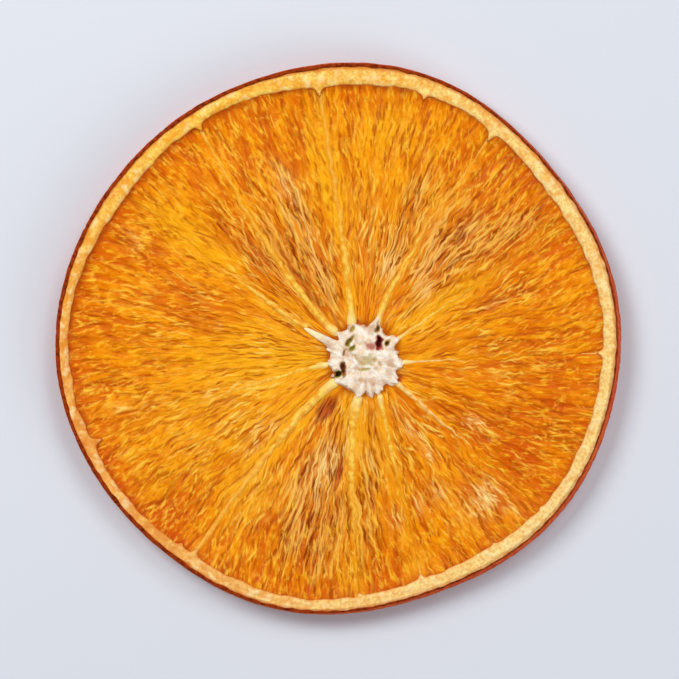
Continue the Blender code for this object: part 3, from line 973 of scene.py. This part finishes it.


PATCHES = [Patch(*row) for row in (
    # Beside the membranes at the top left
    (114.5, 16, 6.5, 1.2, 0.9, 0.4, 0),
    (119, 10, 3, 1.2, 0.8, 0, 0, 0.2),
    (124.5, 14.5, 7, 1.5, 1, 0, 0, 0.35),
    (130, 9.5, 4, 0.7, 1, 0, 0, 0.5, 0.35),
    (127.3, 15.5, 4.5, 0.65, 1, 0, 0, 0.3, 0.36),
    (114, 22, 3, 1.5, 0.4, 0.4, 0),
    (135.5, 17, 6, 1.1, 1, 0, 0, 0.9, 0.25),
    (132, 25, 2, 1, 0.3, 0, 0),
    (144.5, 25, 7, 2.5, 0, 0, 1),
    (152.7, 30, 1.5, 1.5, 0.1, 0.4, 0),
    (167, 17.2, 0.6, 0.4, 0, 1, 0),
    (151, 10, 1.2, 0.8, 0.5, 0.3, 0.3),
    # At the top
    (101, 22, 7, 1.5, 0, 0, 1),
    (75, 10.6, 2.4, 1.1, 0.4, 0.55, 0),
    (71.5, 18, 6, 1.5, 0.85, 0.15, 0),
    (83, 27.5, 3, 3, 0, 0, 0.7),
    # At the top right
    (54, 13.5, 3.5, 1.6, 1, 0.25, 0),
    (51, 17, 5.5, 2.4, 1, 0.15, 0, 0.15),
    (60.5, 18, 5, 1.2, 0.9, 0.1, 0),
    (40.5, 22.5, 4.5, 2.0, 0.8, 0, 0, 1.0),
    (39, 26, 1.5, 1.5, 0.3, 0, 0),
    (47.6, 10.8, 1.5, 1, 0.4, 0.5, 0),
    (35.5, 12.5, 8, 1.5, 0, 0, 1),
    (23, 16.4, 1.6, 0.6, 0.4, 0.5, 0),
    # At the left and the lower left
    (190, 10, 4, 0.9, 0, 0.1, 1),
    (182, 7.5, 3, 1.2, 0, 0, 0.8),
    (193, 16.6, 2.5, 0.9, 0.3, 0.35, 0),
    (191.3, 28, 2.5, 0.7, 0, 0.5, 0),
    (191.5, 24, 1.5, 0.8, 0.2, 0.3, 0),
    (222, 11.5, 5, 1, 0, 0.1, 1),
    (225, 17.5, 4, 1.2, 0, 0.1, 0.7),
    (233, 7.2, 1.8, 0.95, 1, 0, 0, 0.6, 0.85),
    (215.5, 13.2, 2.2, 1, 0.1, 0.8, 0),
    (219, 16, 2, 0.8, 0.2, 0.6, 0),
    (231, 20.5, 4.5, 2.2, 0.1, 0.15, 0.7),
    (212, 28.7, 3, 2, 0, 0, 0.6),
    (205, 22, 6, 5, 0, 0.05, 0.4),
    # At the bottom
    (251, 13, 4.5, 1.6, 0.9, 0.9, 0),
    (245.5, 17, 4.5, 1.8, 1, 0.1, 0),
    (256, 19, 5, 1.6, 1, 0, 0, 0, 0.15),
    (250, 22, 3, 2, 0.9, 0.05, 0, 0.25),
    (276, 10, 5, 3, 0.4, 0.1, 0.35),
    (258.5, 24, 3, 1.8, 0.9, 0, 0),
    (257.5, 13.4, 2, 0.45, 1, 0, 0, 0, 0.6),
    (260.5, 10.5, 4.5, 1.1, 0, 0.2, 1),
    (250, 6.5, 1.6, 1.5, 0, 0, 0.8),
    (263, 18, 3.5, 1.2, 1, 0, 0),
    (273, 13.7, 2.5, 0.8, 0.7, 0.1, 0),
    (270.6, 20.4, 4, 1.3, 0.9, 0, 0),
    (280.8, 18.9, 1.5, 1, 0.2, 0.5, 0),
    (266.2, 25.2, 2.8, 1.8, 0, 0.15, 1),
    (284.4, 24.4, 2.2, 1.3, 0, 0.15, 1),
    # At the lower right and the right
    (304.3, 13.3, 1.8, 0.45, 0.1, 1, 0),
    (299, 17.4, 1.5, 1.2, 0.2, 0.8, 0),
    (308, 21.3, 2.5, 2.5, 0.2, 0.7, 0),
    (313.5, 21, 1.5, 1.2, 0.1, 0.8, 0),
    (314.7, 24.2, 1.5, 1.2, 0, 0.5, 0),
    (302.8, 9.4, 2.5, 0.8, 0.2, 0.7, 0),
    (291, 18, 1.6, 0.7, 0.1, 0.7, 0),
    (331, 14.7, 1.4, 0.9, 0, 1, 0),
    (327.6, 16.8, 0.8, 0.6, 0, 0.6, 0),
    # Small hollows against the core, darkened with painted shade
    (332, 4.6, 0.5, 0.65, 1, 0, 0, 0.8, 0.7),
    (98, 4.4, 0.4, 0.4, 1, 0, 0, 0.3, 0.6),
    # Redder and more golden stretches
    (176, 17, 8, 4, 0, 0, 0.5),
    (327, 21.5, 3, 3, 0, 0, 0, 0.8),
    (347, 23, 1.5, 1.2, 0, 0, 0, 0.9),
    (162, 20, 4, 3, 0, 0, 0, 0.6),
    (218.8, 28.6, 3, 2.5, 0, 0, 0, 0.8),
    (340, 20, 9, 9, 0, 0, 0, 0.35),
    (45, 20, 6, 5, 0, 0, 0, 0.35),
    (277, 23, 5, 5, 0, 0, 0, 0.4),
    (250, 22, 5, 4, 0, 0, 0, 0.4),
    (192, 12, 9, 6, 0, 0.05, 0.65),
    (160, 10, 6, 4, 0.1, 0.05, 0.3),
    (88, 20, 9, 7, 0, 0, 0.35),
    (86, 12, 5, 3, 0.35, 0.2, 0),
    (16, 10, 6, 4, 0, 0, 0.35),
    (277, 11, 5, 2.5, 0, 0.1, 0.3),
)]
PULP_FRINGE = 1.6  # how far in from the pith, in millimetres, the pulp is redder, partly its own colour and partly painted shade from the pith's edge


def patch_shares(flat):
    """How dry, pale, gold, deep and sunken the pulp is at each place. Where it is sunken it is also darkened
    with painted shade.
    """
    off = (flat - CORE_CENTRE) / MM
    shares = np.zeros((5, len(flat)))
    for patch in PATCHES:
        along = off @ direction(patch.angle) - patch.out
        sideways = off @ direction(patch.angle + 90)
        near = np.exp(-((along / patch.half_length) ** 2) - (sideways / patch.half_width) ** 2)
        shares += near * np.array((patch.dry, patch.pale, patch.gold, patch.deep, patch.hollow_shade))[:, None]
    angle = degrees_of(flat)
    from_pith = (outline_radius(angle) - pith_inset(angle) - np.hypot(*flat.T)) / MM
    # Redder towards the pith, more on the left: partly the pulp's own colour, partly painted shade of the
    # pith's edge
    on_left = 0.35 + 0.65 * np.clip(np.cos(np.radians(angle - 185)) + 0.2, 0, 1)
    shares[3] += on_left * faded(np.maximum(0, from_pith), PULP_FRINGE)
    return np.clip(shares, 0, 1)


def shade_by_pith(flat):
    """How strongly painted shade browns the pulp along the pith's inner edge, from 0 to 1. It is most so at
    the top left.
    """
    angle = degrees_of(flat)
    from_pith = outline_radius(angle) - pith_inset(angle) - pith_points(angle) - np.hypot(*flat.T)
    on_side = np.clip(0.55 + 0.55 * np.cos(np.radians(angle - SHADE_MOST_AT)), 0.25, 1)
    broken = np.clip(0.8 + 1.2 * smooth_noise(lifted(flat), 1.6 * MM, seed=79), 0, 1)
    return broken * on_side * faded(np.maximum(0, from_pith), SHADE_BY_PITH, 2)


class Grain(NamedTuple):
    """Where the points on one face of a segment lie in its grain."""

    share: np.ndarray  # the share of the way across the segment
    along: np.ndarray  # the distance out from the core's edge
    width: np.ndarray  # the segment's width there


class Strands(NamedTuple):
    """How one kind of fine strand is scattered over the pulp."""

    spacing: float  # the side of the square that holds one strand
    half_length: tuple
    half_width: tuple
    turned: float  # how far they lie from the grain, in radians, as a standard deviation


FLECKS = Strands(0.8 * MM, (0.4 * MM, 2.2 * MM), (0.11 * MM, 0.18 * MM), 0.36)
THREADS = Strands(1.2 * MM, (1.5 * MM, 7.0 * MM), (0.11 * MM, 0.18 * MM), 0.1)
CREASES = Strands(0.95 * MM, (0.5 * MM, 3.6 * MM), (0.11 * MM, 0.19 * MM), 0.22)
FLAKES = Strands(0.7 * MM, (0.3 * MM, 0.9 * MM), (0.14 * MM, 0.24 * MM), 1.0)


def sac_pattern(grain, draw):
    """Scatters sacs along a segment. Returns three numbers from 0 to 1 for each point: how close it is to
    the wall between two sacs, how near the middle of its sac, and a draw that is the sac's own."""
    share, along, width = grain
    rows = np.arange(-0.5, along.max() / SAC_LENGTH + 1, 0.5)
    order = np.argsort(along)
    centres = []
    for count, row in enumerate(rows):
        row_width = np.interp(row * SAC_LENGTH, along[order], width[order])
        number = max(1, round(row_width / SAC_WIDTH))
        for place in range(-1, number + 1):
            jitter = draw.uniform(-0.42, 0.42, size=2)
            centres.append(((place + 0.5 * (count % 2) + 0.5 + jitter[0]) / number, row + 0.5 * jitter[1]))
    centres = np.array(centres, dtype=np.float32)
    draws = draw.uniform(size=len(centres))
    longer = draw.uniform(0.75, 1.25, size=len(centres)).astype(np.float32)
    off_across = (share[:, None] - centres[:, 0]) * (width / SAC_WIDTH)[:, None]
    off_along = (along[:, None] / SAC_LENGTH - centres[:, 1]) * longer
    far = np.hypot(off_across, off_along)
    found = far.argmin(axis=1)
    points = np.arange(len(share))
    closest = far[points, found]
    far[points, found] = np.inf
    wall = faded(far.min(axis=1) - closest, 0.28, 2)
    return wall, 1 - np.clip(closest / 0.6, 0, 1) ** 2, draws[found]


def strand_closeness(grain, strands, draw):
    """Scatters strands over a segment. Returns how close each point is to the middle of one, from 0 to 1."""
    share, along, width = grain
    widest, longest = width.max(), along.max()
    number = int(longest * widest / strands.spacing**2)
    order = np.argsort(along)
    starts = draw.uniform(0, 1, size=(number, 3))
    local_width = np.interp(starts[:, 1] * longest, along[order], width[order])
    closeness = np.zeros(len(share))
    for at_share, at_along, _ in starts[starts[:, 2] < local_width / widest]:
        shortest, longest_half = strands.half_length
        long_share = draw.uniform() ** 2
        half_length = shortest + long_share * (longest_half - shortest)
        half_width = draw.uniform(*strands.half_width)
        turn = draw.normal(0, strands.turned) * (1 - 0.7 * long_share)
        bend = draw.normal(0, 0.012) / MM
        near = np.flatnonzero(np.abs(along - at_along * longest) < half_length)
        forward = along[near] - at_along * longest
        aside = (share[near] - at_share) * width[near]
        lengthways = forward * np.cos(turn) + aside * np.sin(turn)
        off = aside * np.cos(turn) - forward * np.sin(turn) + bend * lengthways**2
        taper = np.clip(1 - (lengthways / half_length) ** 2, 0, 1)
        shown = draw.uniform(0.4, 1) * taper * faded(off, half_width, 2)
        closeness[near] = np.maximum(closeness[near], shown)
    return closeness


pulp_material, start = add_material(
    "dried pulp",
    {
        "Specular IOR Level": 0.06,
        "Coat Weight": 0.03,
        "Coat Roughness": 0.25,
        "Subsurface Weight": 0.15,
        "Subsurface Radius": (1.0, 0.35, 0.1),
        "Subsurface Scale": 0.4 * MM,
    },
)
place = start.place()
fibre = start.attribute("fibre", "Vector")
streak = fibre.scaled((1.7, 0.28, 1.0)).noise(1.0, detail=2.0, roughness=0.6)
hair = fibre.scaled((3.2, 0.34, 1.0)).noise(1.0, detail=2.0)
turn = {"Vector": fibre, "Angle": 0.3}
crossing = fibre.node("ShaderNodeVectorRotate", {"rotation_type": "Z_AXIS"}, turn)
fleck = crossing.scaled((2.3, 0.55, 1.0)).noise(1.0, detail=2.0, roughness=0.6)
cloud = place.noise(0.22, detail=3.0)
cell = place.noise(1.3, detail=2.0)
noted = ("thread", "crease", "dry", "pale", "tint", "rimward")
thread, crease, dry, pale, tint, rimward = (start.attribute(name) for name in noted)
tone = (0.35 * tint + 0.6 * streak + 0.5 * cloud).between(0.48, 0.98)
# Painted shade in the creases between the sacs, deeper where the pulp is dry, with dark streaks of the grain
crease_shade = crease.between(0.1, 0.65) * (0.68 + 0.22 * dry)
crease_shade = (crease_shade + hair.between(0.5, 0.34) * (0.25 + 0.5 * dry)).clamped()
papery = pale * (1 - crease_shade) * (0.25 + 0.3 * hair.between(0.45, 0.58))
# Painted highlight: the threads' own pale skins, lit up further along their crests as glints
lit = thread.between(0.25, 0.8) * (0.55 + 0.4 * hair.between(0.35, 0.55)) * (0.85 + 0.15 * pale)
skin = layered(
    rimward.mix(screen(255, 220, 96), screen(255, 208, 64)),
    (dry, screen(249, 188, 78)),
    (pale, screen(255, 224, 146)),
)
colour = layered(
    tone.mix(screen(220, 106, 0), screen(252, 160, 4)),
    (0.85 * start.attribute("gold"), screen(255, 182, 16)),
    (0.85 * start.attribute("deep"), screen(210, 76, 0)),
    (0.4 * rimward * cell.between(0.46, 0.34), screen(214, 92, 0)),
    (0.5 * dry, screen(200, 98, 2)),
    (0.45 * fleck.between(0.46, 0.32), screen(206, 94, 0)),
    (crease_shade, dry.mix(screen(172, 70, 0), screen(138, 52, 0))),
    (0.6 * fleck.between(0.54, 0.68), screen(255, 198, 44)),
    (0.45 * rimward * cell.between(0.56, 0.7), screen(255, 186, 52)),
    (papery, streak.between(0.35, 0.65).mix(screen(232, 148, 48), screen(250, 192, 100))),
    (lit.clamped(), skin),
    (start.attribute("by_membrane").clamped(), screen(250, 172, 22)),
    (0.8 * start.attribute("shade"), screen(158, 62, 0)),
    # Painted shade: the sunken patches are darkened to brown
    (
        0.9 * start.attribute("hollow_shade").between(0.15, 0.6),
        hair.between(0.38, 0.6).mix(screen(110, 30, 0), screen(196, 84, 14)),
    ),
)
finish(
    pulp_material,
    Base_Color=colour,
    Roughness=0.5 - 0.1 * tint + 0.2 * pale,
    Normal=(0.6 * streak + 0.5 * hair + 0.3 * fleck).bumped(0.6, 0.1 * MM),
)


def relief(share, along, width, flat, face, draw):
    """The height of the pulp's grain, with what its material needs to know of it."""
    in_3d = lifted(flat, FACE_IN_NOISE * face)
    waver = GRAIN_WAVER * smooth_noise(in_3d, 2.2 * MM, seed=71)
    drift = GRAIN_DRIFT * smooth_noise(in_3d, 7 * MM, seed=73)
    shifted = along + GRAIN_SHIFT * smooth_noise(in_3d, 2 * MM, seed=74)
    grain = Grain(share + (waver + drift) / np.maximum(width, MM), shifted, width)
    wall, middle, tint = sac_pattern(grain, draw)
    marks = dict(zip(("dry", "pale", "gold", "deep", "hollow_shade"), patch_shares(flat)))
    busy = 0.8 + 0.6 * smooth_noise(in_3d, 4 * MM, seed=78) + 0.5 * marks["dry"] + 0.5 * marks["pale"]
    busy = np.clip(busy - 0.15 * marks["gold"], 0.55, 1)
    broken = np.clip(0.7 + 1.2 * smooth_noise(in_3d, 1.2 * MM, seed=77), 0, 1)
    flakes = strand_closeness(grain, FLAKES, draw) * marks["pale"]
    long_threads = strand_closeness(grain, THREADS, draw) * np.clip(0.35 + marks["dry"], 0, 1)
    thread = np.maximum(long_threads, 0.45 * wall * broken)
    thread = np.maximum(thread, 0.9 * strand_closeness(grain, FLECKS, draw))
    thread = np.maximum(thread * busy, flakes)
    crease = strand_closeness(grain, CREASES, draw) * (1 - 0.6 * thread) * (0.4 + 0.6 * busy)
    rough = 0.8 + 0.3 * marks["dry"]
    height = rough * (THREAD_HEIGHT * thread - CREASE_DEPTH * crease + SAC_RELIEF * (2 * tint - 1) * middle)
    height += SAC_WALL * wall - HOLLOW_DEPTH * marks["hollow_shade"]
    return height, marks | {"thread": thread, "crease": crease, "tint": tint}


def segment_places(walls, share, reach_out):
    """Where the points of a segment lie between its two membranes, seen from above."""
    segments = np.full(len(share), walls[0])
    from_core, to_pith = core_end(segments, share), pith_end(segments, share)
    flat = from_core + reach_out[:, None] * (to_pith - from_core)
    flat += (1 - share)[:, None] * sideways_shift(walls[0], reach_out)
    flat += share[:, None] * sideways_shift(walls[1], reach_out)
    return flat


def chord(end_of, segment):
    """The straight width of a segment where the core or the pith ends it."""
    near, far = (end_of(np.array([segment]), np.array([share]))[0] for share in (0.0, 1.0))
    return np.hypot(*(far - near))


def relief_on_both(segment, face, share, along, width, flat, reach_out):
    """The relief and the swell of the pulp over a segment's two faces, with what its material needs."""
    height, swell = np.zeros((2, len(share)))
    notes = {}
    for which_face in (1, -1):
        on_face = face == which_face
        draw = np.random.default_rng(700 + 10 * segment + which_face)
        swell[on_face] = pulp_swell(flat[on_face], share[on_face], reach_out[on_face], which_face)
        parts = (share[on_face], along[on_face], width[on_face], flat[on_face])
        height[on_face], found = relief(*parts, which_face, draw)
        for key, values in found.items():
            notes.setdefault(key, np.zeros(len(share)))[on_face] = values
    return height, swell, notes


def build_segment(segment):
    """One segment of pulp, as a slab from inside the core to inside the pith."""
    walls = segment, (segment + 1) % len(MEMBRANES)
    rim_width = np.radians(wall_angles("rim")[1][segment]) * (MEAN_RADIUS - PITH_WIDTH)
    length = straight_line(segment, 0.5)[2]
    steps = round(length / PULP_GRID_ALONG), round(rim_width / PULP_GRID_ACROSS)
    slab, outwards, share, z = plate_blank(f"pulp_{segment + 1:02d}", *steps)
    face = np.where(z > -0.5, 1, -1)
    reach_out = run_over(outwards, length, PULP_IN_CORE, PULP_IN_PITH)
    along = reach_out * length
    flat = segment_places(walls, share, reach_out)
    core_width, pith_width = chord(core_end, segment), chord(pith_end, segment)
    width = core_width + np.clip(reach_out, 0, 1) * (pith_width - core_width)
    height, swell, notes = relief_on_both(segment, face, share, along, width, flat, reach_out)
    to_side = [share * width, (1 - share) * width]
    ridges = [np.maximum(ridge_height(wall, reach_out), 0) for wall in walls]
    flank = sum(0.5 * ridge * faded(side, FLANK_REACH) for ridge, side in zip(ridges, to_side))
    height *= np.clip(reach_out / 0.05, 0, 1) * (1 - 0.9 * faded(np.minimum(*to_side), CALM_REACH))
    inside = pulp_inside(reach_out, face) - flank - height - swell
    set_points(slab, flat, np.where(face > 0, full_height(flat) - inside, inside))
    for key, values in notes.items():
        note(slab, key, values)
    beside = [MEMBRANES[wall].glow * faded(side, GLOW_REACH) for wall, side in zip(walls, to_side)]
    note(slab, "by_membrane", 0.75 * sum(beside) * (1 - 0.5 * np.clip(reach_out / 0.8, 0, 1)))
    # Painted shade on the pulp against the core's edge between the membranes, joined to the painted shade
    # along the pith's edge
    by_core = faded(np.maximum(0, along - SHADE_FROM_CORE), SHADE_BY_CORE)
    by_core *= np.sin(np.pi * np.clip(share, 0, 1))
    note(slab, "shade", np.maximum(by_core, shade_by_pith(flat)))
    note(slab, "rimward", np.clip((reach_out - 0.35) / 0.5, 0, 1))
    grain = np.sqrt(width * pith_width)
    fibre = np.column_stack(((share - 0.5) * grain / MM, along / MM, 5.0 * segment + 2 * face))
    layer = slab.data.attributes.new("fibre", "FLOAT_VECTOR", "POINT")
    layer.data.foreach_set("vector", fibre.astype(np.float32).ravel())
    settle(slab, pulp_material)


for segment in range(len(MEMBRANES)):
    build_segment(segment)
